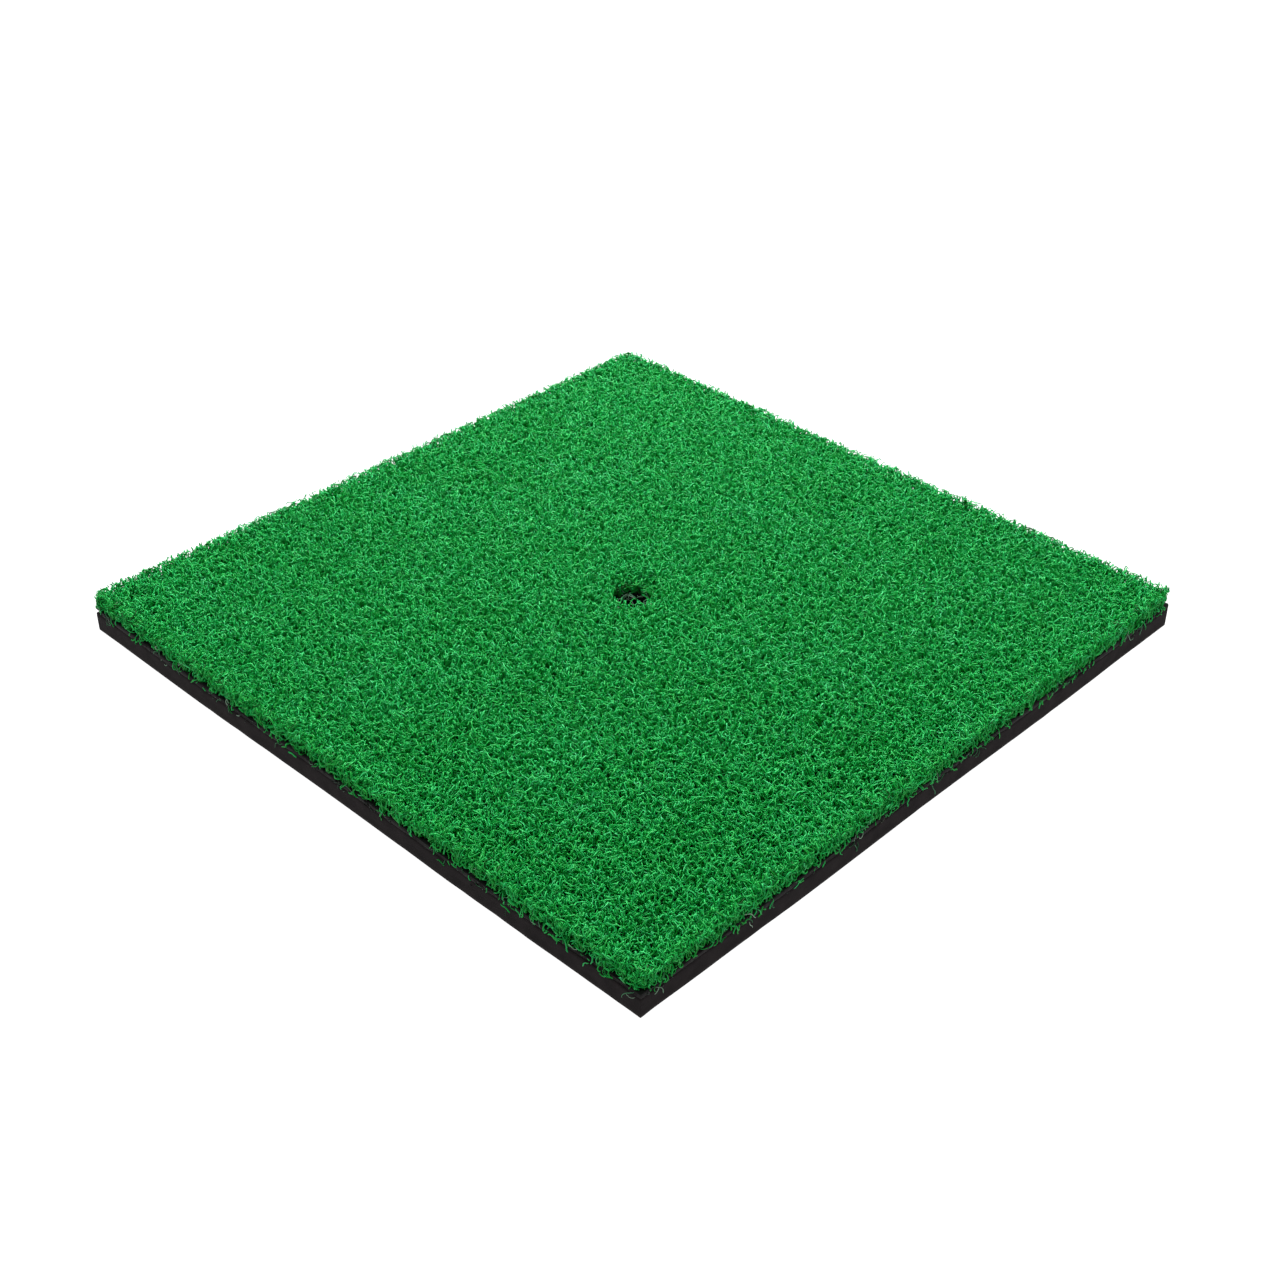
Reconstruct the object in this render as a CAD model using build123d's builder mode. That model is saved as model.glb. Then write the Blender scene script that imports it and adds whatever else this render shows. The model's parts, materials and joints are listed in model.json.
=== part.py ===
from build123d import *
import os

# A square golf hitting mat: curly tufted turf bonded to a foam base, with one round tee hole punched
# through the middle of all the layers at once.
# Millimetres, +Z up. The mat lies on Z = 0, and the origin is the centre of its underside.

# Driving dimensions
MAT_SIDE = 300.0
CUT_CORNER_RADIUS = 1.0
TEE_HOLE_RADIUS = 8.0
FOAM_THICKNESS = 8.0
GLUE_THICKNESS = 0.3
LATEX_THICKNESS = 1.2
CLOTH_THICKNESS = 0.5
PILE_HEIGHT = 8.0
# The glue stops short of every cut edge, so that none squeezes out.
GLUE_MARGIN = 3.0
# The outermost tips splay, which rounds the pile's corners and its upper edge.
PILE_CORNER_RADIUS = 3.0
PILE_EDGE_RADIUS = 2.0

# Height of the underside of each layer, from the ground up
FOAM_BOTTOM = 0.0
GLUE_BOTTOM = FOAM_BOTTOM + FOAM_THICKNESS
LATEX_BOTTOM = GLUE_BOTTOM + GLUE_THICKNESS
CLOTH_BOTTOM = LATEX_BOTTOM + LATEX_THICKNESS
PILE_BOTTOM = CLOTH_BOTTOM + CLOTH_THICKNESS


def layer_outline(margin=0.0, corner_radius=CUT_CORNER_RADIUS):
    """Draws one layer's square with its tee hole, held back from every cut edge by the margin."""
    side = MAT_SIDE - 2 * margin
    RectangleRounded(side, side, corner_radius)
    Circle(TEE_HOLE_RADIUS + margin, mode=Mode.SUBTRACT)


def write_step(piece):
    """Writes one finished piece to the parts folder, in a file named by its label."""
    export_step(piece, f"parts/{piece.label}.step")


os.makedirs("parts", exist_ok=True)

# Foam base: the closed-cell slab that lies on the ground and takes the shock of the club
with BuildPart() as foam_base:
    with BuildSketch(Plane.XY.offset(FOAM_BOTTOM)):
        layer_outline()
    extrude(amount=FOAM_THICKNESS)
foam_base.part.label = "foam_base"
write_step(foam_base.part)

# Adhesive film: the contact glue between the foam and the turf
with BuildPart() as adhesive_film:
    with BuildSketch(Plane.XY.offset(GLUE_BOTTOM)):
        layer_outline(margin=GLUE_MARGIN)
    extrude(amount=GLUE_THICKNESS)
adhesive_film.part.label = "adhesive_film"
write_step(adhesive_film.part)

# Latex coating: the black secondary backing, which locks the roots of the tufts in the cloth
with BuildPart() as latex_coating:
    with BuildSketch(Plane.XY.offset(LATEX_BOTTOM)):
        layer_outline()
    extrude(amount=LATEX_THICKNESS)
latex_coating.part.label = "latex_coating"
write_step(latex_coating.part)

# Primary backing: the woven cloth that the turf yarn is tufted through
with BuildPart() as primary_backing:
    with BuildSketch(Plane.XY.offset(CLOTH_BOTTOM)):
        layer_outline()
    extrude(amount=CLOTH_THICKNESS)
primary_backing.part.label = "primary_backing"
write_step(primary_backing.part)

# Turf pile: the room that the curled fibres take up, as one soft slab
with BuildPart() as turf_pile:
    with BuildSketch(Plane.XY.offset(PILE_BOTTOM)):
        layer_outline(corner_radius=PILE_CORNER_RADIUS)
    extrude(amount=PILE_HEIGHT)
    playing_surface = turf_pile.faces().sort_by(Axis.Z)[-1]
    fillet(playing_surface.outer_wire().edges(), PILE_EDGE_RADIUS)
turf_pile.part.label = "turf_pile"
write_step(turf_pile.part)
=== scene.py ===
"""The looks of the golf hitting mat: curly turf, a ragged backing and cut foam on the CAD frame."""

import json
import math

import bpy
import numpy as np
from mathutils import Euler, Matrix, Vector


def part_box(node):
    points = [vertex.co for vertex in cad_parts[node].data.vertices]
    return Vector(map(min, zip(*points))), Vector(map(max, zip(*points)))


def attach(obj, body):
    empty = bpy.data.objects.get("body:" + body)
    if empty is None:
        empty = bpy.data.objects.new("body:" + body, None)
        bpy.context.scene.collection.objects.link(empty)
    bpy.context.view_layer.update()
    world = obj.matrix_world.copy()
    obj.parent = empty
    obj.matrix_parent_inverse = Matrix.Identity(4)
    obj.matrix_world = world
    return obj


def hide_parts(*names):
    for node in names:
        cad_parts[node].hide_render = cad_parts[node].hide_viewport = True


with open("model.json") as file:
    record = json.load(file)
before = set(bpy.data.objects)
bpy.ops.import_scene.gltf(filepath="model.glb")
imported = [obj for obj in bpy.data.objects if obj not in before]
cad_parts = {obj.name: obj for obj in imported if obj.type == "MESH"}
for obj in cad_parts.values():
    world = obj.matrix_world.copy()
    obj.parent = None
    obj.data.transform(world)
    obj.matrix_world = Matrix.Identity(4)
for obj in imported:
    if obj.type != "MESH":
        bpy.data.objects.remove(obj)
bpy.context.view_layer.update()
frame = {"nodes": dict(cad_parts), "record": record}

MM = 0.001
PILE_SEED = 7
STRAY_SEED = 11
CUT_YARN_SEED = 13

# ---------------------------------------------------------------- sizes, from the frame

foam_low, foam_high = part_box("foam_base")
latex_low, latex_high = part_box("latex_coating")
cloth_low, cloth_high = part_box("primary_backing")
pile_low, pile_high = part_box("turf_pile")

HALF = foam_high.x
PILE_FLOOR = pile_low.z
PILE_HEIGHT = pile_high.z - pile_low.z
mounts = {mount["name"]: mount for mount in frame["record"]["mounts"]}
HOLE_RADIUS = mounts["tee_hole"]["dims"]["r_mm"] * MM

# ---------------------------------------------------------------- camera

SENSOR = 36.0
FOCAL_LENGTH = 54.342
CAMERA_PLACE = Vector((437.5, -448.9, 430.2)) * MM
CAMERA_YAW = math.radians(44.30)
CAMERA_PITCH = math.radians(34.60)
CAMERA_ROLL = math.radians(0.20)


def make_camera():
    """The main view: down across the mat, along its diagonal."""
    data = bpy.data.cameras.new("camera")
    data.sensor_width = SENSOR
    data.lens = FOCAL_LENGTH
    camera = bpy.data.objects.new("camera", data)
    bpy.context.scene.collection.objects.link(camera)
    camera.location = CAMERA_PLACE
    look = Euler((math.pi / 2 - CAMERA_PITCH, 0, CAMERA_YAW), "XYZ").to_matrix()
    roll = Euler((0, 0, CAMERA_ROLL), "XYZ").to_matrix()
    camera.rotation_euler = (look @ roll).to_euler()
    bpy.context.scene.camera = camera


# ---------------------------------------------------------------- node helpers


def new_material(name):
    """A node material and its Principled shader."""
    material = bpy.data.materials.new(name)
    material.use_nodes = True
    return material, material.node_tree.nodes["Principled BSDF"]


def add_node(material, kind, **values):
    """One node, with its properties and its unlinked inputs set."""
    node = material.node_tree.nodes.new(kind)
    for key, value in values.items():
        if key in node.inputs:
            node.inputs[key].default_value = value
        else:
            setattr(node, key, value)
    return node


def link(material, source, target):
    material.node_tree.links.new(source, target)


def linear(r, g, b):
    """A colour given as 0 to 255 screen values, as the shader's linear values."""
    def one(value):
        value = value / 255
        return value / 12.92 if value <= 0.04045 else ((value + 0.055) / 1.055) ** 2.4
    return (one(r), one(g), one(b), 1.0)


def ramp(material, source, stops):
    """A colour ramp over stops, each a place and a colour."""
    node = add_node(material, "ShaderNodeValToRGB")
    elements = node.color_ramp.elements
    while len(elements) < len(stops):
        elements.new(0.5)
    for element, (place, colour) in zip(elements, stops):
        element.position = place
        element.color = colour
    link(material, source, node.inputs["Fac"])
    return node.outputs["Color"]


# ---------------------------------------------------------------- materials

# Each fibre's u and v are kept on the UV map of this name.
FIBRE_UV = "OFBake"

# Each list of stops is a place along the ramp and a colour.
FOAM_COLOURS = [
    (0.3, linear(28, 24, 25)),
    (0.7, linear(40, 35, 36)),
]
LATEX_COLOURS = [
    (0.4, linear(27, 24, 25)),
    (0.62, linear(35, 33, 33)),
    (0.75, linear(52, 58, 52)),
]
TURF_COLOURS = [
    (0.0, linear(2, 168, 60)),
    (0.45, linear(8, 181, 80)),
    (0.8, linear(25, 189, 99)),
    (1.0, linear(66, 194, 123)),
]
# Painted shade: each fibre darkens towards its root, down its v.
TURF_PAINTED_ROOT_SHADE = [
    (0.0, (0.05, 0.2, 0.07, 1)),
    (0.12, (0.4, 0.72, 0.42, 1)),
    (0.5, (0.85, 0.98, 0.8, 1)),
    (1.0, (1, 1, 1, 1)),
]
CUT_YARN_COLOURS = [
    (0.0, linear(14, 15, 14)),
    (0.6, linear(22, 32, 27)),
    (0.85, linear(38, 66, 50)),
    (0.95, linear(84, 104, 94)),
    (1.0, linear(104, 92, 88)),
]
LOOSE_YARN_COLOURS = [
    (0.0, linear(24, 104, 56)),
    (0.6, linear(70, 138, 96)),
    (1.0, linear(160, 186, 164)),
]


# The two tones of the backing's weave.
TAPE_COLOURS = [linear(20, 22, 20), linear(12, 14, 12)]

# The Mix node's sockets for colours.
MIX_FACTOR, MIX_FIRST, MIX_SECOND, MIX_RESULT = 0, 6, 7, 2

# Painted shade: the cut sheets darken towards the wall of the tee hole, over this stretch past its
# radius.
HOLE_DARK_FROM = 0.2 * MM
HOLE_DARK_TO = 1.0 * MM
HOLE_SHADE = 0.25


def surface(shader, roughness, specular):
    shader.inputs["Roughness"].default_value = roughness
    shader.inputs["Specular IOR Level"].default_value = specular


def multiply(material, first, second):
    """The product of two colours."""
    mix = add_node(material, "ShaderNodeMix", data_type="RGBA", blend_type="MULTIPLY")
    mix.inputs[MIX_FACTOR].default_value = 1
    link(material, first, mix.inputs[MIX_FIRST])
    link(material, second, mix.inputs[MIX_SECOND])
    return mix.outputs[MIX_RESULT]


def fibre_uv(material):
    """The u and v of a fibre."""
    uv = add_node(material, "ShaderNodeUVMap", uv_map=FIBRE_UV)
    split = add_node(material, "ShaderNodeSeparateXYZ")
    link(material, uv.outputs["UV"], split.inputs["Vector"])
    return split.outputs["X"], split.outputs["Y"]


def turf_material():
    """Curled nylon: each fibre has its own green across u, and painted shade darkens it towards its root
    down v.
    """
    material, shader = new_material("turf_yarn")
    u, v = fibre_uv(material)
    tone = ramp(material, u, TURF_COLOURS)
    depth = ramp(material, v, TURF_PAINTED_ROOT_SHADE)
    link(material, multiply(material, tone, depth), shader.inputs["Base Color"])
    surface(shader, roughness=0.55, specular=0.3)
    return material


def painted_shade_in_hole(material, place, colour):
    """The colour, blackened with painted shade on the wall of the tee hole."""
    flat = add_node(material, "ShaderNodeVectorMath", operation="MULTIPLY")
    flat.inputs[1].default_value = (1, 1, 0)
    radius = add_node(material, "ShaderNodeVectorMath", operation="LENGTH")
    share = add_node(material, "ShaderNodeMapRange")
    share.inputs["From Min"].default_value = HOLE_RADIUS + HOLE_DARK_FROM
    share.inputs["From Max"].default_value = HOLE_RADIUS + HOLE_DARK_TO
    share.inputs["To Min"].default_value = HOLE_SHADE
    link(material, place, flat.inputs[0])
    link(material, flat.outputs["Vector"], radius.inputs[0])
    link(material, radius.outputs["Value"], share.inputs["Value"])
    return multiply(material, colour, share.outputs["Result"])


def foam_material():
    """Closed-cell foam: near black, faintly mottled, with fine cells opened by the knife, and painted
    shade on the wall of the tee hole.
    """
    material, shader = new_material("foam")
    place = add_node(material, "ShaderNodeTexCoord").outputs["Object"]
    mottle = add_node(material, "ShaderNodeTexNoise", Scale=180, Detail=4)
    link(material, place, mottle.inputs["Vector"])
    colour = ramp(material, mottle.outputs["Fac"], FOAM_COLOURS)
    link(material, painted_shade_in_hole(material, place, colour), shader.inputs["Base Color"])
    cells = add_node(material, "ShaderNodeTexVoronoi", Scale=1800)
    link(material, place, cells.inputs["Vector"])
    bump = add_node(material, "ShaderNodeBump", Strength=0.25, Distance=0.0002)
    link(material, cells.outputs["Distance"], bump.inputs["Height"])
    link(material, bump.outputs["Normal"], shader.inputs["Normal"])
    surface(shader, roughness=0.8, specular=0.1)
    return material


def latex_material():
    """Black latex, mottled where yarn shows through the cut, with painted shade on the wall of the tee
    hole.
    """
    material, shader = new_material("latex")
    place = add_node(material, "ShaderNodeTexCoord").outputs["Object"]
    mottle = add_node(material, "ShaderNodeTexNoise", Scale=420, Detail=3)
    link(material, place, mottle.inputs["Vector"])
    colour = ramp(material, mottle.outputs["Fac"], LATEX_COLOURS)
    link(material, painted_shade_in_hole(material, place, colour), shader.inputs["Base Color"])
    surface(shader, roughness=0.6, specular=0.1)
    return material


def backing_material():
    """Woven polypropylene tape, black, with painted shade on the wall of the tee hole."""
    material, shader = new_material("backing")
    place = add_node(material, "ShaderNodeTexCoord").outputs["Object"]
    weave = add_node(material, "ShaderNodeTexChecker", Scale=500)
    weave.inputs["Color1"].default_value = TAPE_COLOURS[0]
    weave.inputs["Color2"].default_value = TAPE_COLOURS[1]
    link(material, place, weave.inputs["Vector"])
    link(material, painted_shade_in_hole(material, place, weave.outputs["Color"]), shader.inputs["Base Color"])
    surface(shader, roughness=0.6, specular=0.1)
    return material


def loose_fibre_material(name, stops):
    """Fibres that take their colour from a ramp across u."""
    material, shader = new_material(name)
    u, _ = fibre_uv(material)
    link(material, ramp(material, u, stops), shader.inputs["Base Color"])
    surface(shader, roughness=0.5, specular=0.3)
    return material


FLOOR_GREY = (0.2, 0.2, 0.2, 1)
# How strongly the white stage lights the mat, where 1 is the white that the camera sees.
FLOOR_GLOW = 0.7
WORLD_GLOW_FRONT = 0.2
WORLD_GLOW_BACK = 1.05
WORLD_BACK = (-0.7, 0.7, 0.0)


def glow_for_camera(owner, glow, target):
    """Full white where the camera looks straight at it, and another glow on everything else."""
    seen = add_node(owner, "ShaderNodeLightPath")
    strength = add_node(owner, "ShaderNodeMapRange")
    strength.inputs["To Min"].default_value = glow
    strength.inputs["To Max"].default_value = 1.0
    link(owner, seen.outputs["Is Camera Ray"], strength.inputs["Value"])
    link(owner, strength.outputs["Result"], target)
    return strength


def floor_material():
    """A white sweep that shows no shadow. It lights the mat less than it shines into the camera."""
    material, shader = new_material("floor")
    shader.inputs["Base Color"].default_value = FLOOR_GREY
    shader.inputs["Specular IOR Level"].default_value = 0.0
    shader.inputs["Emission Color"].default_value = (1, 1, 1, 1)
    glow_for_camera(material, FLOOR_GLOW, shader.inputs["Emission Strength"])
    return material


def plain_material(name, colour):
    material, shader = new_material(name)
    shader.inputs["Base Color"].default_value = colour
    shader.inputs["Roughness"].default_value = 0.8
    return material


# ---------------------------------------------------------------- meshes from arrays


def mesh_object(name, points, quads, triangles=None, uv=None, material=None):
    """One smooth mesh object from points, quads and triangles, with uv for each face corner."""
    triangles = np.zeros((0, 3), int) if triangles is None else triangles
    corners = np.concatenate([quads.ravel(), triangles.ravel()]).astype(np.int32)
    sizes = np.concatenate([np.full(len(quads), 4), np.full(len(triangles), 3)])
    starts = np.concatenate([[0], np.cumsum(sizes)[:-1]])
    mesh = bpy.data.meshes.new(name)
    mesh.vertices.add(len(points))
    mesh.vertices.foreach_set("co", points.astype(np.float32).ravel())
    mesh.loops.add(len(corners))
    mesh.loops.foreach_set("vertex_index", corners)
    mesh.polygons.add(len(sizes))
    mesh.polygons.foreach_set("loop_start", starts.astype(np.int32))
    mesh.polygons.foreach_set("use_smooth", np.ones(len(sizes), bool))
    if uv is not None:
        layer = mesh.uv_layers.new(name=FIBRE_UV)
        layer.data.foreach_set("uv", uv.astype(np.float32).ravel())
    mesh.update(calc_edges=True)
    mesh.validate()
    if material:
        mesh.materials.append(material)
    piece = bpy.data.objects.new(name, mesh)
    bpy.context.scene.collection.objects.link(piece)
    return piece


# ---------------------------------------------------------------- the cut sheets under the pile

SIDE_STATIONS = 160
CORNER_STATIONS = 5
SLOW_WAVE_STATIONS = 14
FINE_WAVE_STATIONS = 3
FACE_RINGS = (0.985, 0.9, 0.6, 0.3, 0.06)
SHEET_CORNER = 0.3 * MM
BEVEL = 0.06 * MM
FULL_BEVEL_HEIGHT = 6 * BEVEL
FOAM_WAVE = 0.1 * MM
CUT_CLOTH_WAVE = 0.2 * MM
FINE_WAVE_SHARE = 0.5
LIP_SHARE = 0.8
SIDE_BOW = 0.45 * MM
CORNER_DRAWN_OUT = 0.9 * MM
CORNER_CRUMBLE = 2.5 * MM
CRUMBLE_REACH = 2.5 * MM


def smooth_noise(rng, places, wavelength):
    """A smooth random wave about 0 along places, closed over their range, one bump to a wavelength."""
    knots = max(4, int(np.ptp(places) / wavelength))
    values = rng.normal(0, 1, knots)
    values = np.append(values, values[0])
    at = (places - places.min()) / np.ptp(places) * knots
    low = np.minimum(at.astype(int), knots - 1)
    part = at - low
    part = part * part * (3 - 2 * part)
    return values[low] * (1 - part) + values[low + 1] * part


def outline(half, corner):
    """Points round a square with rounded corners, and the outward direction at each."""
    places, outward = [], []
    for quarter in range(4):
        turn = quarter * math.pi / 2
        along = np.array([-math.sin(turn), math.cos(turn)])
        out = np.array([math.cos(turn), math.sin(turn)])
        for step in np.linspace(-half + corner, half - corner, SIDE_STATIONS, endpoint=False):
            places.append(half * out + step * along)
            outward.append(out)
        centre = (half - corner) * (out + along)
        for angle in np.linspace(turn, turn + math.pi / 2, CORNER_STATIONS, endpoint=False):
            direction = np.array([math.cos(angle), math.sin(angle)])
            places.append(centre + corner * direction)
            outward.append(direction)
    return np.array(places), np.array(outward)


def out_of_square(places):
    """The outline with one corner drawn out along its side, as the sheets were cut."""
    share = np.prod((places + HALF) / (2 * HALF), axis=1, keepdims=True)
    return places + np.array([0, CORNER_DRAWN_OUT]) * share


def side_bow(places):
    """How far the knife wandered outwards, in two long bows along each side, nothing at the corners."""
    along = np.where(np.abs(places[:, 0]) > np.abs(places[:, 1]), places[:, 1], places[:, 0])
    return SIDE_BOW * np.sin(math.pi * along / HALF) ** 2


def crumbled(places):
    """How much of the latex has broken away at the loose corner: 1 at the corner itself."""
    return np.exp(-np.sum((places + HALF) ** 2, axis=1) / CRUMBLE_REACH ** 2)


def slab(name, low, high, side_wave, material, levels=7, lift=0.0, crumble=0.0, lip=0.0):
    """A sheet cut square, with its hole, as one closed surface.

    side_wave says how rough its cut side is, lift how much of the loose corner's lift it takes,
    crumble how far it has broken away there, and lip how far its lower rim is pressed down.
    """
    rng = np.random.default_rng(len(name))
    square, outward = outline(HALF, SHEET_CORNER)
    count = len(square)
    run = np.arange(count)
    ring_in = HOLE_RADIUS * unit(square)
    wall = np.linspace(0, 1, levels)
    bow = side_bow(square) - crumble * crumbled(square)
    places = out_of_square(square)
    slow = smooth_noise(rng, run, SLOW_WAVE_STATIONS) * side_wave
    rings = []

    def add(at, z):
        raised = z + lift * corner_lift(at[:, 0], at[:, 1])
        rings.append(np.column_stack([at, raised]))

    for part in wall:
        z = low + (high - low) * part - lip * (part == 0.0)
        inset = BEVEL * (part in (0.0, 1.0)) * min(1, (high - low) / FULL_BEVEL_HEIGHT)
        fine = smooth_noise(rng, run, FINE_WAVE_STATIONS) * side_wave * FINE_WAVE_SHARE
        add(places + outward * (bow - inset + np.minimum(slow + fine, 0))[:, None], z)
    for part in FACE_RINGS:
        add(ring_in + (places - ring_in) * part, high)
    for part in wall[::-1]:
        add(ring_in, low + (high - low) * part)
    for part in FACE_RINGS[::-1]:
        add(ring_in + (places - ring_in) * part, low)
    points = np.stack(rings)
    ring_count = len(rings)
    ring, station = np.meshgrid(np.arange(ring_count), run, indexing="ij")
    next_ring = (ring + 1) % ring_count
    next_station = (station + 1) % count
    quads = np.stack([
        ring * count + station, ring * count + next_station,
        next_ring * count + next_station, next_ring * count + station,
    ], axis=-1).reshape(-1, 4)
    return mesh_object(name, points.reshape(-1, 3), quads, material=material)


def make_sheets(foam, latex, cloth):
    """The foam base, the latex coating and the woven backing, with the edges that the knife left."""
    glue_gap = latex_low.z - foam_high.z
    base = slab("foam_slab", foam_low.z, foam_high.z, FOAM_WAVE, foam)
    coating = slab(
        "latex_layer", latex_low.z, latex_high.z, CUT_CLOTH_WAVE, latex,
        lift=1.0, crumble=CORNER_CRUMBLE, lip=LIP_SHARE * glue_gap,
    )
    weave = slab("woven_backing", cloth_low.z, cloth_high.z, CUT_CLOTH_WAVE, cloth, levels=4, lift=1.0)
    for piece, node, part in (
        (base, "foam_base", "foam"),
        (coating, "latex_coating", "latex"),
        (weave, "primary_backing", "backing_cloth"),
    ):
        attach(piece, "root")
        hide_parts(node)
    return weave


# ---------------------------------------------------------------- turf fibres

# A pair of numbers is the least and the most of a random range, in mm where the name says so.

# The tufts, and the fibres that each splays into.
TUFT_GAUGE = 4.7625 * MM
TUFT_STITCH = 4.0 * MM
FIBRES_PER_TUFT = 11
FILLERS_PER_TUFT = 7
ROOT_SPREAD = 0.6 * MM
# Multiples of these two, less their whole parts, fill a cell evenly however many are taken.
EVEN_STEPS = np.array([0.7549, 0.5698])
EVEN_STARTS = 1000
BUNCHED = 0.45
BUNCHED_REACH = 2 * TUFT_STITCH
CUT_TUFT_DEPTH_MM = (0.3, 3.0)
WORN_DEPTH_GAIN = 2
# Painted shade: the share of their tip's v that the fibres of the cut tufts keep.
CUT_TUFT_TIP_SHADE = (0.6, 1.0)
PATCH_WAVES = 12
PATCH_PACE = (0.6, 1.4)
TONE_PATCH = 30 * MM
TONE_PATCH_SHARE = 0.04
TUFT_TONE_SPREAD = 0.02
HEIGHT_PATCH = 20 * MM
HEIGHT_PATCH_SHARE = 0.01
TUFT_HEIGHT_SPREAD = 0.01

# The fibres' own shape.
FIBRE_POINTS = 12
FILLER_POINTS = 4
EDGE_POINTS = 9
STRAY_POINTS = 12
FIBRE_HALF_WIDTH = 0.28 * MM
STRAY_HALF_WIDTH = 0.17 * MM
CUT_END_HALF_WIDTH = 0.2 * MM
FILLER_WIDENING = 1.5
DEPTH_SHARE = 0.5
FIBRE_SECTION = [(-1, -0.7), (1, -0.7), (0, 1.3)]
END_TAPER = 0.6
TURN_WANDER = 1.2
ROOT_CURL = 0.3
CURL_GROWTH = 1.6
MAIN_PACE = (0.9, 1.1)
MINOR_PACE = (0.8, 1.3)
MINOR_SWING = 0.45
TIP_SWING = 1.3
TIP_START = 0.6
TIP_POWER = 1.5
LEAN_POWER = 1.3
RISE_POWER = 1.5
RIPPLE = 0.09
RIPPLE_PACE = (1.6, 2.4)
SWAY = (0.3, 0.9)
SWAY_PACE = (0.6, 1.4)
# The two powers of the beta distribution that the tones are drawn from.
TONE_SHAPE = (2, 2.5)

# The tall fibres and the fillers. Heights are shares of the pile's.
TALL_HEIGHT = 0.92
TALL_HEIGHT_SPREAD = 0.08
TALL_HEIGHT_RANGE = (0.6, 1.05)
TALL_CRIMPS = (1.2, 2.2)
TALL_SWING_MM = (0.6, 1.3)
TALL_LEAN = 1.3 * MM
FILLER_HEIGHT = (0.35, 0.65)
FILLER_CRIMPS = (0.3, 0.6)
FILLER_SWING_MM = (0.8, 1.4)
FILLER_LEAN = 1.2 * MM

# The places of a fibre's corners in its texture.
UV_MARGIN = 0.01
UV_SPAN = 0.98
UV_STEP = 0.005

# How many of each other kind there are.
EDGE_FIBRES = 2900
EDGE_TOPS = 1400
EDGE_FILLERS = 2000
HOLE_EDGE_FIBRES = 90
HOLE_STRANDS = 40
STRAYS = 130
CUT_ENDS = 1500
PILE_PIECES = 24

# The cut sides of the pile. A direction out of a thinned and shaded side, or out of a lit side, is as
# long as the effect is strong.
TURF_CORNER = 4 * MM
ROOT_MARGIN = 0.3 * MM
EDGE_REACH = 4 * MM
EDGE_FUZZ = 1.0 * MM
EDGE_SHOULDER = 1.4 * MM
EDGE_FOOT = -0.8 * MM
EDGE_CORNER_RISE = 1.2 * MM
EDGE_TOP_SHARE = 0.9
EDGE_TOP_SHADE = 0.6
EDGE_FILLER_RISE = 0.2
RAGGED_SIDE = np.array([0, -1])
RAGGED_CLUMPS = 1.6 * MM
PLAIN_CLUMPS = 0.9 * MM
# Two sides have fewer fibres right at the outline, and painted shade on the fibres near it.
THINNED_AND_SHADED_SIDES = np.array([0.3, -0.75])
SIDE_SHADE = 1.0
SIDE_SHADE_REACH = 10 * MM
LIT_SIDES = np.array([-1, 1])
LIT_REACH = 5 * MM
LIT_TONE = 0.3
LIT_ROOT = 0.6
HANG_TURN = 0.8 * MM
HANG_SHARE = 0.3
HANG_CLEAR_MM = (0.3, 0.8)
LEAN_OVER_MM = (0, 1.2)
LEAN_OVER_TOP = 1.2
LEAN_OVER_POWER = 1.2
DROOP = (0.0, 1.8)
SIDE_SHADE_SPREAD = (0, 1.2)
SIDE_TIP = (0.35, 1.6)
WALL_RUN_MM = (2.5, 5.5)
WALL_BEND = 1.1
WALL_TUCK_MM = (1.5, 2.5)
WALL_PROUD_MM = (-1.0, 0.8)
WALL_BULGE_POWER = 0.6
WALL_HEIGHT_POWER = 1.4
SHOULDER_TOP = 1.1
SHOULDER_POWER = 3
CLUMP_DIRECTION = np.array([1.0, 1.7])

# The rim of the tee hole. Directions from its middle are as long as the effect there is strong.
HOLE_MARGIN = 0.2 * MM
RIM_REACH = 3 * MM
RIM_UPRIGHT = np.array([-1.4, 0])
RIM_CUT_AND_SHADED = np.array([-0.7, 0.7])
RIM_PRESSED = np.array([0.7, 0.7])
RIM_LEAN = 3 * MM
RIM_CUT = 0.55
# Painted shade on the fibres by one side of the tee hole, where they are also cut shorter.
RIM_SHADE = 1.7
RIM_CUT_AND_SHADE_REACH = 6 * MM
HOLE_WALL_DEPTH = 0.4 * MM
HOLE_WALL_HEIGHT = (0.1, 0.6)
# Painted shade: the fibres on the wall of the tee hole have dark tips, with v in this range.
HOLE_WALL_TIP_SHADE = (0.15, 0.55)

# The loose strands over the sides and in the tee hole, and the cut ends of yarn.
STRAY_HEADING_SPREAD = 1.0
STRAY_RUN_MM = (3, 8)
STRAY_BEND = 1.4
STRAY_OUT_MM = (0.2, 0.9)
STRAY_TUCK = 2 * MM
STRAY_TUCK_POWER = 4
STRAY_SIDEWAYS = 2 * MM
STRAY_LOWEST = 1 * MM
STRAY_START_MM = (-1.5, 2.5)
HOLE_STRAND_HEADING_SPREAD = 0.8
HOLE_STRAND_RUN_MM = (3, 7)
HOLE_STRAND_BEND = 2.0
HOLE_STRAND_ARCH_MM = (0, 1.5)
HOLE_STRAND_ARCH_TURN = 3
HOLE_STRAND_DROOP = 1 * MM
HOLE_STRAND_TONE = (0.5, 1)
CUT_END_STRETCH = 12 * MM
CUT_END_POINTS = 4
CUT_END_LENGTH_MM = (0.5, 2.0)
CUT_END_SLOPE = 0.5
CUT_END_OUT_MM = (-0.1, 0.25)
CUT_END_PROUD = 0.3 * MM
CUT_END_BEND = 1.6 * MM
CUT_END_DEPTH = 1.4 * MM

# The corner where the turf has come off the foam.
CORNER_LIFT = 0.5 * MM
CORNER_REACH = 6 * MM
LOOSE_CORNER_RISE = 1.8 * MM
LOOSE_CORNER_REACH = 20 * MM


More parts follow.
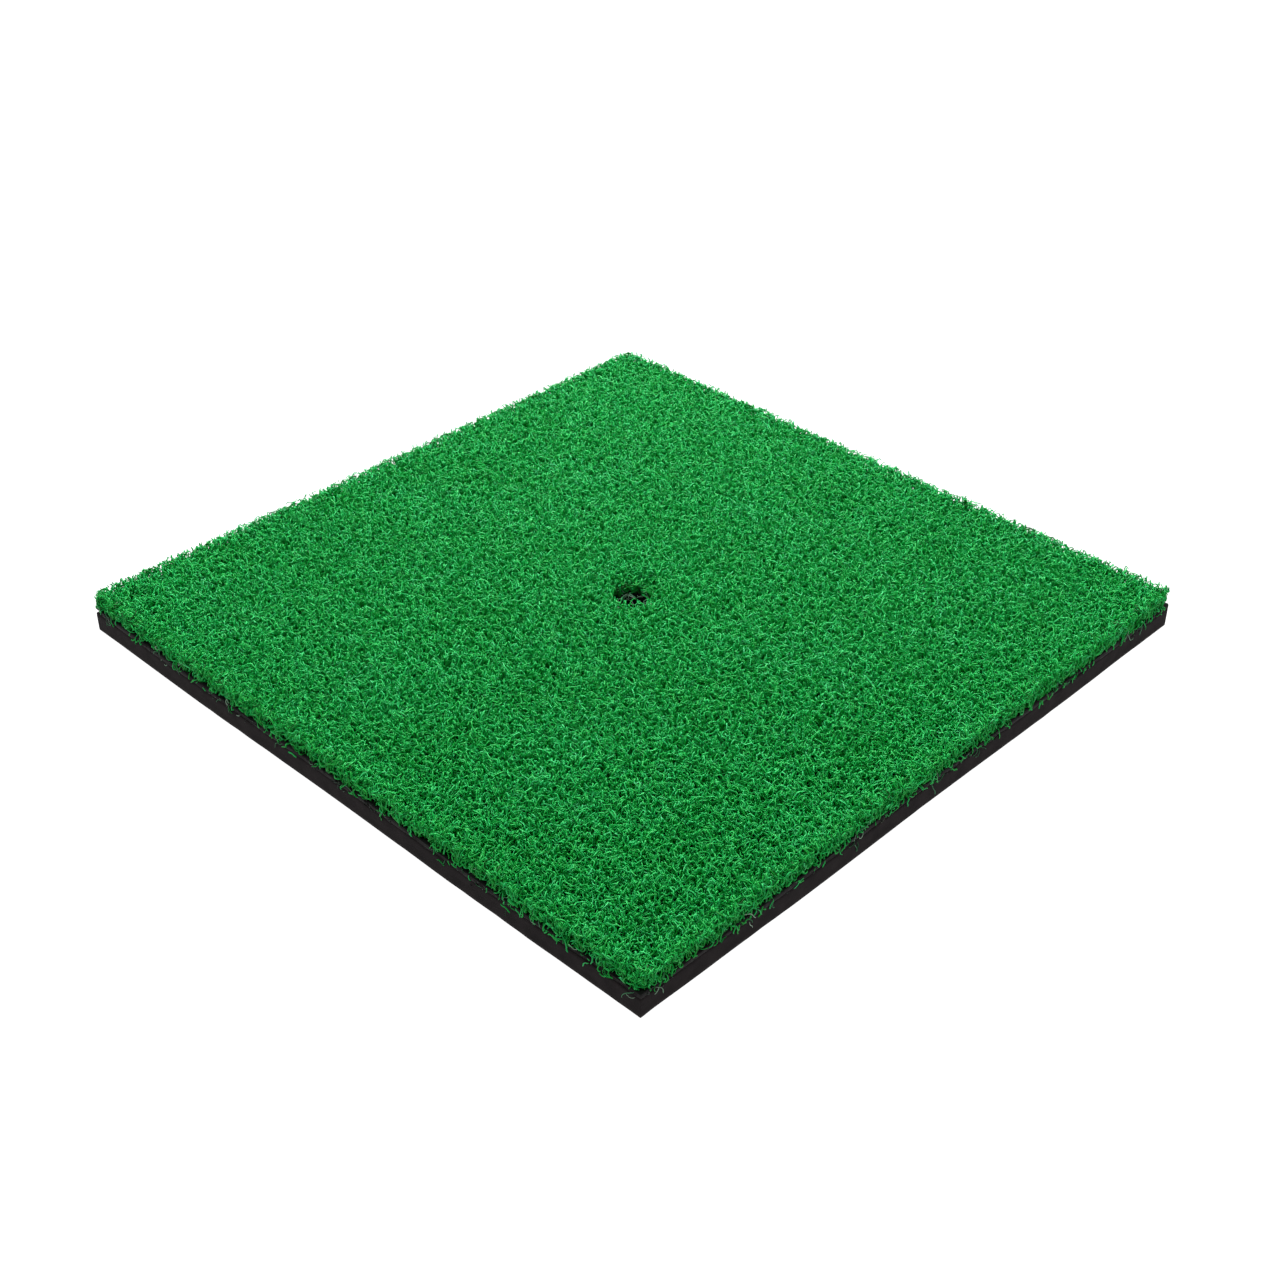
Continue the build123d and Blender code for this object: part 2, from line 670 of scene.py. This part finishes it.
def unit(vectors):
    """The vectors at length 1."""
    return vectors / np.maximum(np.linalg.norm(vectors, axis=-1, keepdims=True), 1e-12)


def tufts():
    """Root centres of the tufts, row by row, with every other row half a stitch on."""
    rows = int(2 * HALF / TUFT_GAUGE)
    stitches = int(2 * HALF / TUFT_STITCH)
    row, stitch = np.meshgrid(np.arange(rows), np.arange(stitches), indexing="ij")
    x = (row + 0.5) / rows * 2 * HALF - HALF
    y = (stitch + 0.25 + 0.5 * (row % 2)) / stitches * 2 * HALF - HALF
    return np.stack([x.ravel(), y.ravel()], axis=1)


def outside(flat):
    """How far places lie outside the turf's outline, whose corners are rounded by wear, and the
    direction out.
    """
    past = np.maximum(np.abs(flat) - (HALF - TURF_CORNER), 0)
    length = np.linalg.norm(past, axis=-1)
    direction = np.sign(flat) * past / np.maximum(length, 1e-9)[..., None]
    return length - TURF_CORNER, direction


def hold_in(flat, margin):
    """Places pulled in so that none lies nearer to the turf's outline than the margin."""
    distance, direction = outside(flat)
    return flat - direction * np.maximum(distance + margin, 0)[..., None]


def curled_paths(rng, steps, roots, top, crimps, swing, lean):
    """Centre lines of crimped fibres, which climb, swing to and fro, and curl over at the tip."""
    count = len(roots)
    t = np.linspace(0, 1, steps)[None, :]

    def wave(low, high):
        pace = crimps[:, None] * rng.uniform(low, high, (count, 1))
        start = rng.uniform(0, 2 * math.pi, (count, 1))
        return np.sin(start + 2 * math.pi * pace * t) - np.sin(start)

    turn = rng.uniform(0, 2 * math.pi, (count, 1))
    turn = turn + rng.uniform(-TURN_WANDER, TURN_WANDER, (count, 1)) * t
    along = np.stack([np.cos(turn), np.sin(turn)], axis=-1)
    across = np.stack([-np.sin(turn), np.cos(turn)], axis=-1)
    grow = ROOT_CURL + (1 - ROOT_CURL) * np.clip(t * CURL_GROWTH, 0, 1)
    main = swing[:, None] * wave(*MAIN_PACE) * grow
    minor = MINOR_SWING * swing[:, None] * wave(*MINOR_PACE) * grow
    tip = rng.normal(0, 1, (count, 2)) * swing[:, None] * TIP_SWING
    over = np.clip((t - TIP_START) / (1 - TIP_START), 0, 1) ** TIP_POWER
    paths = np.zeros((count, steps, 3))
    paths[..., :2] = roots[:, None, :] + lean[:, None, :] * t[..., None] ** LEAN_POWER
    paths[..., :2] += main[..., None] * along + minor[..., None] * across
    paths[..., :2] += tip[:, None, :] * over[..., None]
    rise = 1 - (1 - t) ** RISE_POWER
    paths[..., 2] = rise + RIPPLE * wave(*RIPPLE_PACE) * grow
    paths[..., 2] *= (top / paths[..., 2].max(axis=1))[:, None]
    paths[..., 2] = np.maximum(paths[..., 2], 0) + PILE_FLOOR
    return paths


def curl(rng, heading, steps, length, bend):
    """Runs in two coordinates from 0, in the given headings, that curl into hooks and S shapes."""
    count = len(heading)
    t = np.linspace(0, 1, steps)[None, :]
    sway = rng.uniform(*SWAY, (count, 1))
    phase = rng.uniform(0, 2 * math.pi, (count, 1))
    pace = rng.uniform(*SWAY_PACE, (count, 1))
    turned = heading[:, None] + rng.normal(0, bend, (count, 1)) * t
    turned = turned + sway * np.sin(phase + 2 * math.pi * pace * t)
    step = length[:, None] / (steps - 1)
    run = np.stack([np.cos(turned) * step, np.sin(turned) * step], axis=-1)
    run[:, 0] = 0
    return np.cumsum(run, axis=1)


def fibre_arrays(rng, paths, tone, half_width, root=0.0, tip=1.0):
    """Closed three-sided tubes, flattened like drawn yarn, along the paths.

    v runs from root to tip along each, and u is its tone, so the material can colour it and paint shade
    on it.
    """
    count, steps, _ = paths.shape
    tangent = np.zeros_like(paths)
    tangent[:, 1:-1] = paths[:, 2:] - paths[:, :-2]
    tangent[:, 0] = paths[:, 1] - paths[:, 0]
    tangent[:, -1] = paths[:, -1] - paths[:, -2]
    tangent = unit(tangent)
    wide = np.zeros_like(paths)
    wide[:, 0] = unit(np.cross(tangent[:, 0], rng.normal(size=(count, 3))))
    for k in range(1, steps):
        last = wide[:, k - 1]
        wide[:, k] = unit(last - (last * tangent[:, k]).sum(1, keepdims=True) * tangent[:, k])
    thick = np.cross(tangent, wide)
    taper = np.ones(steps)
    taper[-1] = END_TAPER
    points = np.stack([
        paths
        + wide * (a * half_width * taper)[None, :, None]
        + thick * (b * half_width * DEPTH_SHARE * taper)[None, :, None]
        for a, b in FIBRE_SECTION
    ], axis=2)
    base = (np.arange(count) * steps * 3)[:, None, None]
    ring = (np.arange(steps - 1) * 3)[None, :, None]
    corner = np.arange(3)[None, None, :]
    after = (corner + 1) % 3
    quads = np.stack([
        base + ring + corner, base + ring + after, base + ring + 3 + after, base + ring + 3 + corner,
    ], axis=-1).reshape(-1, 4)
    first = (np.arange(count) * steps * 3)[:, None]
    ends = np.concatenate([first + np.array([2, 1, 0]), first + (steps - 1) * 3 + np.array([0, 1, 2])])
    root, tip = np.broadcast_to(root, count)[:, None], np.broadcast_to(tip, count)[:, None]
    v = UV_MARGIN + UV_SPAN * (root + (tip - root) * np.linspace(0, 1, steps))
    u = tone[:, None, None] * UV_SPAN
    shape = (count, steps - 1, 3)
    v_low = np.broadcast_to(v[:, :-1, None], shape)
    v_top = np.broadcast_to(v[:, 1:, None], shape)
    u_here = np.broadcast_to(u + corner * UV_STEP, shape)
    u_next = np.broadcast_to(u + (corner + 1) * UV_STEP, shape)
    quad_uv = np.stack([
        np.stack([u_here, v_low], -1), np.stack([u_next, v_low], -1),
        np.stack([u_next, v_top], -1), np.stack([u_here, v_top], -1),
    ], axis=-2).reshape(-1, 2)
    end_u = tone[:, None] * UV_SPAN + UV_STEP * np.arange(3)
    end_v = UV_MARGIN * np.array([0, 1, 0])
    low_uv = np.stack([end_u, v[:, :1] + end_v], -1)
    top_uv = np.stack([end_u, v[:, -1:] + end_v], -1)
    end_uv = np.concatenate([low_uv.reshape(-1, 2), top_uv.reshape(-1, 2)])
    return points.reshape(-1, 3), quads, ends, quad_uv, end_uv


def join_arrays(parts):
    """Several fibre_arrays results as one."""
    shift = np.cumsum([0] + [len(part[0]) for part in parts[:-1]])
    points = np.concatenate([part[0] for part in parts])
    quads = np.concatenate([part[1] + n for part, n in zip(parts, shift)])
    ends = np.concatenate([part[2] + n for part, n in zip(parts, shift)])
    uv = np.concatenate([part[3] for part in parts] + [part[4] for part in parts])
    return points, quads, ends, uv


def side_places(rng, count):
    """Random places round the turf's outline, with the directions out of it and along it at each."""
    side = rng.integers(0, 4, count) * math.pi / 2
    square_out = np.stack([np.cos(side), np.sin(side)], axis=1)
    square_along = np.stack([-np.sin(side), np.cos(side)], axis=1)
    reach = HALF - TURF_CORNER * (1 - math.pi / 4)
    start = hold_in(HALF * square_out + square_along * rng.uniform(-reach, reach, (count, 1)), 0)
    out = outside(start)[1]
    return start, out, np.stack([-out[:, 1], out[:, 0]], axis=1)


def patches(rng, places, size):
    """A smooth random field about 0 over the mat, with patches of about the given size."""
    angle = rng.uniform(0, 2 * math.pi, PATCH_WAVES)
    pace = math.pi / size * rng.uniform(*PATCH_PACE, PATCH_WAVES)
    across = places @ np.stack([np.cos(angle), np.sin(angle)]) * pace
    start = rng.uniform(0, 2 * math.pi, PATCH_WAVES)
    return np.sin(across + start).sum(axis=1) * math.sqrt(2 / PATCH_WAVES)


def root_fibres(rng, per_tuft, extra):
    """Roots of the fibres round each tuft, clear of the tee hole, and the tuft that each is from.

    The tufts next to the two sides that cut across the rows stay bunched. Some extra fibres, from
    the tufts that the knife cut through, stand along the sides.
    """
    places = tufts()
    tuft = np.repeat(np.arange(len(places)), per_tuft)
    order = rng.integers(0, EVEN_STARTS, len(places))[tuft] + np.tile(np.arange(per_tuft), len(places))
    splay = (order[:, None] * EVEN_STEPS % 1 - 0.5) * [TUFT_GAUGE, TUFT_STITCH]
    loose = np.interp(HALF - np.abs(places[tuft, 1]), [0, BUNCHED_REACH], [BUNCHED, 1])
    roots = places[tuft] + (splay + rng.normal(0, ROOT_SPREAD, splay.shape)) * loose[:, None]
    roots = hold_in(roots, ROOT_MARGIN)
    keep = np.hypot(roots[:, 0], roots[:, 1]) > HOLE_RADIUS + HOLE_MARGIN
    start, out, _ = side_places(rng, extra)
    depth = rng.uniform(*CUT_TUFT_DEPTH_MM, extra) * (1 + WORN_DEPTH_GAIN * side_thinning_and_shade(out)) * MM
    cut = start - out * depth[:, None]
    cut_tuft = rng.integers(0, len(places), extra)
    return np.concatenate([roots[keep], cut]), np.concatenate([tuft[keep], cut_tuft])


def corner_lift(x, y):
    """How far the turf has come away from the foam round its loose corner."""
    return CORNER_LIFT * np.exp(-((x + HALF) ** 2 + (y + HALF) ** 2) / CORNER_REACH ** 2)


def hole_share(roots, reach=RIM_REACH):
    """How close each root is to the rim of the tee hole: 1 at the rim, 0 from the reach away."""
    distance = np.hypot(roots[:, 0], roots[:, 1])
    return np.clip(1 - (distance - HOLE_RADIUS) / reach, 0, 1)


def rim_cut_and_painted_shade(roots):
    """How much each fibre by one side of the tee hole is cut shorter and darkened with painted shade: 1
    at its rim.
    """
    return hole_share(roots, RIM_CUT_AND_SHADE_REACH) * np.clip(unit(roots) @ RIM_CUT_AND_SHADED, 0, 1)


def side_thinning_and_shade(out):
    """How much the side that a direction points out of is thinned and darkened with painted shade, from
    0 to 1.
    """
    return np.clip(out @ THINNED_AND_SHADED_SIDES, 0, 1)


def painted_side_shade(roots):
    """How much painted shade darkens the fibres by two of the sides, the most at the turf's outline."""
    distance, direction = outside(roots)
    return np.clip(1 + distance / SIDE_SHADE_REACH, 0, 1) * side_thinning_and_shade(direction)


def side_light(roots):
    """How much light comes through the fibres by the two sides that face it: 1 at the turf's outline."""
    distance, direction = outside(roots)
    return np.clip(1 + distance / LIT_REACH, 0, 1) * np.clip(direction @ LIT_SIDES, 0, 1)


def lean_by_hole(paths, roots):
    """Stands the fibres up on one side of the tee hole, and presses them in over it from another."""
    inward = -unit(roots)
    share = hole_share(roots)
    into = np.einsum("fsk,fk->fs", paths[..., :2] - roots[:, None, :], inward)
    upright = np.clip(unit(roots) @ RIM_UPRIGHT, 0, 1) * np.sqrt(share)
    pressed = np.clip(unit(roots) @ RIM_PRESSED, 0, 1) * share
    up = np.clip((paths[..., 2] - PILE_FLOOR) / PILE_HEIGHT, 0, 1)
    shift = RIM_LEAN * pressed[:, None] * up - np.maximum(into, 0) * upright[:, None]
    paths[..., :2] += inward[:, None, :] * shift[..., None]


def lean_over_sides(paths, roots, amount):
    """Lets the fibres by the cut sides hang a little over them."""
    up = np.clip((paths[..., 2] - PILE_FLOOR) / PILE_HEIGHT, 0, LEAN_OVER_TOP) ** LEAN_OVER_POWER
    distance, direction = outside(roots)
    near = np.clip(1 + distance / EDGE_REACH, 0, 1)
    paths[..., :2] += (direction * (near * amount)[:, None])[:, None, :] * up[..., None]


def settle(rng, paths):
    """Draws in what stands far out of the sides, lets it droop, and lifts the loose corner."""
    distance, direction = outside(paths[..., :2])
    over = np.maximum(distance, 0)
    held = EDGE_FUZZ * (1 - np.exp(-over / EDGE_FUZZ))
    paths[..., :2] -= direction * (over - held)[..., None]
    paths[..., 2] -= held * rng.uniform(*DROOP, (len(paths), 1))
    paths[..., 2] += corner_lift(paths[..., 0], paths[..., 1])


def wall_paths(rng, start, out, height):
    """Fibres that come out of a cut wall of the pile and curl along it, with their ends tucked in.

    Of those that reach below the pile, some hang clear of the sheets.
    """
    count = len(start)
    along = np.stack([-out[:, 1], out[:, 0]], axis=1)
    t = np.linspace(0, 1, EDGE_POINTS)[None, :]
    heading = rng.uniform(0, 2 * math.pi, count)
    run = curl(rng, heading, EDGE_POINTS, rng.uniform(*WALL_RUN_MM, count) * MM, WALL_BEND)
    run = run - run[:, EDGE_POINTS // 2, None]
    z = height[:, None] + run[..., 1]
    tuck = rng.uniform(*WALL_TUCK_MM, (count, 1)) * MM
    proud = rng.uniform(*WALL_PROUD_MM, (count, 1)) * MM * (1 - by_corner(out)[:, None] / 2)
    bulge = np.sin(math.pi * t) ** WALL_BULGE_POWER
    outwards = (proud + tuck) * bulge - tuck
    outwards -= EDGE_SHOULDER * np.clip(z / PILE_HEIGHT, 0, SHOULDER_TOP) ** SHOULDER_POWER
    hung = np.clip(0.5 - z / HANG_TURN, 0, 1) * (rng.uniform(0, 1, (count, 1)) < HANG_SHARE)
    clear = np.maximum(outwards, rng.uniform(*HANG_CLEAR_MM, (count, 1)) * MM)
    outwards += (clear - outwards) * hung
    flat = start[:, None, :] + out[:, None, :] * outwards[..., None] + along[:, None, :] * run[..., :1]
    return np.concatenate([flat, PILE_FLOOR + z[..., None]], axis=2)


def by_corner(out):
    """1 for a direction out of the middle of a corner, 0 for one out of a straight side."""
    return 2 * np.abs(out[:, 0] * out[:, 1])


def edge_paths(rng):
    """The fibres on the cut sides and on the wall of the tee hole, and how bright the tip of each is."""
    start, out, _ = side_places(rng, EDGE_FIBRES)
    clump = smooth_noise(rng, start @ CLUMP_DIRECTION, TUFT_GAUGE)
    ragged = out @ RAGGED_SIDE > 0.5
    foot = EDGE_FOOT + clump * np.where(ragged, RAGGED_CLUMPS, PLAIN_CLUMPS)
    foot += EDGE_CORNER_RISE * by_corner(out)
    foot += LOOSE_CORNER_RISE * np.exp(-np.sum((start + HALF) ** 2, axis=1) / LOOSE_CORNER_REACH ** 2)
    share = rng.uniform(0, 1, EDGE_FIBRES) ** WALL_HEIGHT_POWER
    height = foot + (EDGE_TOP_SHARE * PILE_HEIGHT - foot) * share
    side = wall_paths(rng, start, out, height)

    angle = rng.uniform(0, 2 * math.pi, HOLE_EDGE_FIBRES)
    inward = -np.stack([np.cos(angle), np.sin(angle)], axis=1)
    hole_height = rng.uniform(*HOLE_WALL_HEIGHT, HOLE_EDGE_FIBRES) * PILE_HEIGHT
    hole = wall_paths(rng, -inward * (HOLE_RADIUS + HOLE_WALL_DEPTH), inward, hole_height)
    top_shade = EDGE_TOP_SHADE * np.clip(height / PILE_HEIGHT, 0, 1)
    side_tip = np.clip(rng.uniform(*SIDE_TIP, EDGE_FIBRES) - top_shade, 0, 1)
    # Painted shade on the fibres on the wall of the tee hole.
    hole_shaded_tip = rng.uniform(*HOLE_WALL_TIP_SHADE, HOLE_EDGE_FIBRES)
    return np.concatenate([side, hole]), np.concatenate([side_tip, hole_shaded_tip])


# Each kind of fibre is given as its paths, its tones, a half width, and its v at root and at tip.


def tall_fibres(rng, tuft_tone, tuft_height):
    """The curled fibres of every tuft, and those of the cut tufts along the sides."""
    roots, tuft = root_fibres(rng, FIBRES_PER_TUFT, EDGE_TOPS)
    count = len(roots)
    height = rng.normal(TALL_HEIGHT, TALL_HEIGHT_SPREAD, count)
    height = height.clip(*TALL_HEIGHT_RANGE) * tuft_height[tuft]
    paths = curled_paths(
        rng, FIBRE_POINTS, roots,
        top=PILE_HEIGHT * height * (1 - RIM_CUT * rim_cut_and_painted_shade(roots)),
        crimps=rng.uniform(*TALL_CRIMPS, count),
        swing=rng.uniform(*TALL_SWING_MM, count) * MM,
        lean=rng.normal(0, TALL_LEAN, (count, 2)),
    )
    lean_by_hole(paths, roots)
    lean_over_sides(paths, roots, rng.uniform(*LEAN_OVER_MM, count) * MM)
    settle(rng, paths)
    lit = side_light(roots)
    tone = np.clip(rng.beta(*TONE_SHAPE, count) + tuft_tone[tuft] + LIT_TONE * lit, 0, 1)
    # Painted shade: the fibres by two of the sides are darkened by random amounts.
    side_shade_amount = SIDE_SHADE * painted_side_shade(roots) * rng.uniform(*SIDE_SHADE_SPREAD, count)
    # Painted shade darkens the tips by one side of the tee hole and by two of the cut sides.
    tip = np.clip(1 - RIM_SHADE * rim_cut_and_painted_shade(roots), 0, 1) * np.clip(1 - side_shade_amount, 0, 1)
    # Painted shade: the fibres of the cut tufts along the sides are darkened at random.
    tip[-EDGE_TOPS:] *= rng.uniform(*CUT_TUFT_TIP_SHADE, EDGE_TOPS)
    return paths, tone, FIBRE_HALF_WIDTH, LIT_ROOT * lit, tip


def filler_fibres(rng, tuft_tone):
    """Short, wide fibres that fill in between the tall ones."""
    roots, tuft = root_fibres(rng, FILLERS_PER_TUFT, EDGE_FILLERS)
    count = len(roots)
    height = rng.uniform(*FILLER_HEIGHT, count)
    height[-EDGE_FILLERS:] += EDGE_FILLER_RISE
    paths = curled_paths(
        rng, FILLER_POINTS, roots,
        top=PILE_HEIGHT * height,
        crimps=rng.uniform(*FILLER_CRIMPS, count),
        swing=rng.uniform(*FILLER_SWING_MM, count) * MM,
        lean=rng.normal(0, FILLER_LEAN, (count, 2)),
    )
    lean_by_hole(paths, roots)
    settle(rng, paths)
    lit = side_light(roots)
    tone = np.clip(rng.beta(*TONE_SHAPE, count) + tuft_tone[tuft] + LIT_TONE * lit, 0, 1)
    return paths, tone, FILLER_WIDENING * FIBRE_HALF_WIDTH, LIT_ROOT * lit, np.ones(count)


def wall_fibres(rng):
    """The fibres on the cut walls of the pile, which start at a third of their tip's v, part of the way
    along the painted root shade.
    """
    paths, tip = edge_paths(rng)
    settle(rng, paths)
    return paths, rng.beta(*TONE_SHAPE, len(paths)), FIBRE_HALF_WIDTH, tip / 3, tip


def make_pile(material):
    """All the fibres of the pile, in pieces that are strips of the mat with as many in each."""
    rng = np.random.default_rng(PILE_SEED)
    places = tufts()
    tuft_tone = TONE_PATCH_SHARE * patches(rng, places, TONE_PATCH)
    tuft_tone = tuft_tone + rng.normal(0, TUFT_TONE_SPREAD, len(places))
    tuft_height = 1 + HEIGHT_PATCH_SHARE * patches(rng, places, HEIGHT_PATCH)
    tuft_height = tuft_height + rng.normal(0, TUFT_HEIGHT_SPREAD, len(places))
    tall = tall_fibres(rng, tuft_tone, tuft_height)
    filler = filler_fibres(rng, tuft_tone)
    wall = wall_fibres(rng)

    across = np.concatenate([tall[0][:, 0, 0], wall[0][:, 0, 0]])
    cuts = np.quantile(across, np.linspace(0, 1, PILE_PIECES + 1)[1:-1])
    for index in range(PILE_PIECES):
        parts = []
        for paths, tone, half_width, root, tip in (tall, filler, wall):
            here = np.searchsorted(cuts, paths[:, 0, 0]) == index
            parts.append(fibre_arrays(rng, paths[here], tone[here], half_width, root[here], tip[here]))
        piece = mesh_object(f"turf_pile_{index + 1:02d}", *join_arrays(parts), material)
        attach(piece, "root")
        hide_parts("turf_pile")


def stray_paths(rng, count):
    """Loose filaments, in twos and threes, that come out over the cut sides and hang against them."""
    start, out, along = side_places(rng, count // 2)
    group = rng.integers(0, count // 2, count)
    start, out, along = start[group], out[group], along[group]
    t = np.linspace(0, 1, STRAY_POINTS)[None, :]
    heading = rng.normal(-math.pi / 2, STRAY_HEADING_SPREAD, count)
    run = curl(rng, heading, STRAY_POINTS, rng.uniform(*STRAY_RUN_MM, count) * MM, STRAY_BEND)
    outwards = rng.uniform(*STRAY_OUT_MM, (count, 1)) * MM - STRAY_TUCK * (1 - t) ** STRAY_TUCK_POWER
    sideways = run[..., :1] + rng.normal(0, STRAY_SIDEWAYS, (count, 1, 1))
    flat = start[:, None, :] + out[:, None, :] * outwards[..., None] + along[:, None, :] * sideways
    z = PILE_FLOOR + rng.uniform(*STRAY_START_MM, (count, 1)) * MM + run[..., 1]
    return np.concatenate([flat, np.maximum(z, STRAY_LOWEST)[..., None]], axis=2)


def hole_paths(rng, count):
    """Loose filaments that curl into the tee hole from its rim."""
    angle = rng.uniform(0, 2 * math.pi, count)
    rim = HOLE_RADIUS * np.stack([np.cos(angle), np.sin(angle)], axis=1)
    heading = angle + math.pi + rng.normal(0, HOLE_STRAND_HEADING_SPREAD, count)
    length = rng.uniform(*HOLE_STRAND_RUN_MM, count) * MM
    run = curl(rng, heading, STRAY_POINTS, length, HOLE_STRAND_BEND)
    t = np.linspace(0, 1, STRAY_POINTS)[None, :]
    z = PILE_FLOOR + rng.uniform(*STRAY_START_MM, (count, 1)) * MM
    arch = rng.uniform(*HOLE_STRAND_ARCH_MM, (count, 1)) * MM * np.sin(HOLE_STRAND_ARCH_TURN * t)
    z = z + arch - HOLE_STRAND_DROOP * t ** 2
    return np.concatenate([rim[:, None, :] + run, z[..., None]], axis=2)


def make_strays(material):
    """The loose filaments over the cut sides and in the tee hole, as one piece."""
    rng = np.random.default_rng(STRAY_SEED)
    paths = np.concatenate([stray_paths(rng, STRAYS), hole_paths(rng, HOLE_STRANDS)])
    tone = np.concatenate([rng.uniform(0, 1, STRAYS), rng.uniform(*HOLE_STRAND_TONE, HOLE_STRANDS)])
    arrays = fibre_arrays(rng, paths, tone, STRAY_HALF_WIDTH)
    piece = mesh_object("loose_yarn", *join_arrays([arrays]), material)
    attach(piece, "root")
    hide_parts("turf_pile")


def make_cut_yarn(material):
    """The cut ends of yarn and tape that show in the coating along the sides, in some stretches."""
    rng = np.random.default_rng(CUT_YARN_SEED)
    start, out, along = side_places(rng, CUT_ENDS)
    shown = smooth_noise(rng, start @ CLUMP_DIRECTION, CUT_END_STRETCH) > 0
    start, out, along = start[shown], out[shown], along[shown]
    count = len(start)
    t = np.linspace(-0.5, 0.5, CUT_END_POINTS)[None, :, None]
    length = rng.uniform(*CUT_END_LENGTH_MM, (count, 1, 1)) * MM
    slope = rng.normal(0, CUT_END_SLOPE, (count, 1))
    middle_place = start + out * rng.uniform(*CUT_END_OUT_MM, (count, 1)) * MM
    flat = middle_place[:, None, :] + along[:, None, :] * length * t
    flat = flat + out[:, None, :] * (CUT_END_PROUD - CUT_END_BEND * t ** 2)
    middle = PILE_FLOOR - np.abs(rng.normal(0, CUT_END_DEPTH, (count, 1)))
    z = middle + slope * length[..., 0] * t[..., 0]
    paths = np.concatenate([flat, z[..., None]], axis=2)
    paths[..., 2] += corner_lift(paths[..., 0], paths[..., 1])
    arrays = fibre_arrays(rng, paths, rng.uniform(0, 1, count), CUT_END_HALF_WIDTH)
    piece = mesh_object("cut_yarn_ends", *join_arrays([arrays]), material)
    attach(piece, "root")
    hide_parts("primary_backing")
    return piece


# ---------------------------------------------------------------- stage


FLOOR_REACH = 6.0
FLOOR_OVERLAP = 2 * MM
PATCH_GREY = (0.3, 0.3, 0.3, 1)


def make_floor():
    """A wide floor round the mat's footprint, and a plain patch under it."""
    far, near = FLOOR_REACH, HALF - FLOOR_OVERLAP
    ring = np.array([
        (x * side, y * side, 0)
        for side in (near, far)
        for x, y in ((-1, -1), (1, -1), (1, 1), (-1, 1))
    ])
    sides = np.array([(k, k + 4, (k + 1) % 4 + 4, (k + 1) % 4) for k in range(4)])
    floor = mesh_object("floor", ring, sides[:, ::-1], material=floor_material())
    grey = plain_material("floor_patch", PATCH_GREY)
    patch = mesh_object("floor_under_mat", ring[:4], np.array([[0, 1, 2, 3]]), material=grey)


def make_light(name, place, size, power, colour):
    """A round soft light that faces the middle of the mat."""
    data = bpy.data.lights.new(name, "AREA")
    data.color = colour
    data.shape = "DISK"
    data.size = size
    data.energy = power
    light = bpy.data.objects.new(name, data)
    bpy.context.scene.collection.objects.link(light)
    light.location = place
    light.rotation_euler = (-Vector(place)).to_track_quat("-Z", "Y").to_euler()


def make_world():
    """White all round for the camera, but a glow from the back for the mat itself."""
    world = bpy.data.worlds.new("studio")
    world.use_nodes = True
    background = world.node_tree.nodes["Background"]
    background.inputs["Color"].default_value = (1, 1, 1, 1)
    glow = glow_for_camera(world, WORLD_GLOW_FRONT, background.inputs["Strength"])
    direction = add_node(world, "ShaderNodeTexCoord").outputs["Generated"]
    facing = add_node(world, "ShaderNodeVectorMath", operation="DOT_PRODUCT")
    facing.inputs[1].default_value = WORLD_BACK
    by_side = add_node(world, "ShaderNodeMapRange")
    by_side.inputs["From Min"].default_value = -1
    by_side.inputs["To Min"].default_value = WORLD_GLOW_FRONT
    by_side.inputs["To Max"].default_value = WORLD_GLOW_BACK
    link(world, direction, facing.inputs[0])
    link(world, facing.outputs["Value"], by_side.inputs["Value"])
    link(world, by_side.outputs["Result"], glow.inputs["To Min"])
    bpy.context.scene.world = world


make_camera()
make_floor()
make_world()
make_light("key", place=(-0.38, 0.42, 0.5), size=1.0, power=10.9, colour=(1, 1, 1.07))
make_light("top", place=(-0.2, 0.2, 1.3), size=1.0, power=6.9, colour=(1, 1, 1))
bpy.context.scene.view_settings.view_transform = "Standard"

turf = turf_material()
glue = frame["nodes"]["adhesive_film"]
glue.data.materials.clear()
glue.data.materials.append(latex_material())
weave = make_sheets(foam_material(), latex_material(), backing_material())
cut_yarn = make_cut_yarn(loose_fibre_material("cut_yarn", CUT_YARN_COLOURS))
make_pile(turf)
make_strays(loose_fibre_material("loose_yarn", LOOSE_YARN_COLOURS))
